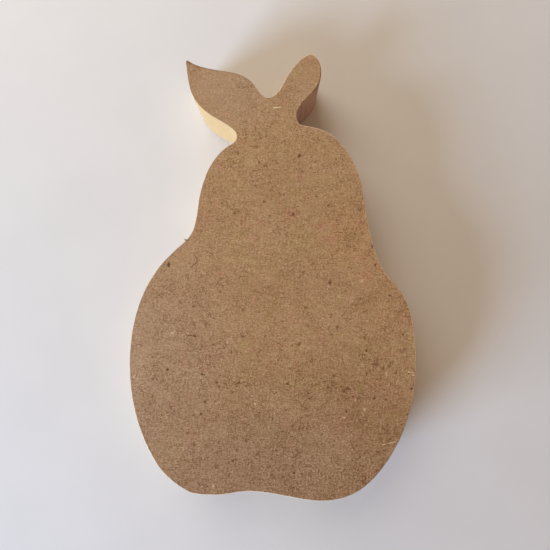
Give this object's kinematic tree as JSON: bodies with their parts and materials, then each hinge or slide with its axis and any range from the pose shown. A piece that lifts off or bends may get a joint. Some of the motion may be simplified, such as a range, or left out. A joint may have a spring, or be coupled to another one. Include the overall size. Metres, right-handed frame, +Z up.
{
  "type": "pear-shaped fibreboard cut-out",
  "caption": "Flat pear silhouette with its stem and a leaf, cut in one piece from thick fibreboard, for painting or decorating.",
  "frame": {"origin": "on the back face that rests on the table, under the middle of the outline's box", "axes": "+Y from the foot of the pear to its stem, +X to the right seen from above, +Z up through the board's thickness"},
  "size_m": [0.0962, 0.15, 0.018],
  "materials": {
    "fibreboard": "raw sanded fibreboard, matt, with a sawn edge"
  },
  "bodies": {
    "root": {"pear_board": "fibreboard"}
  },
  "joints": []
}
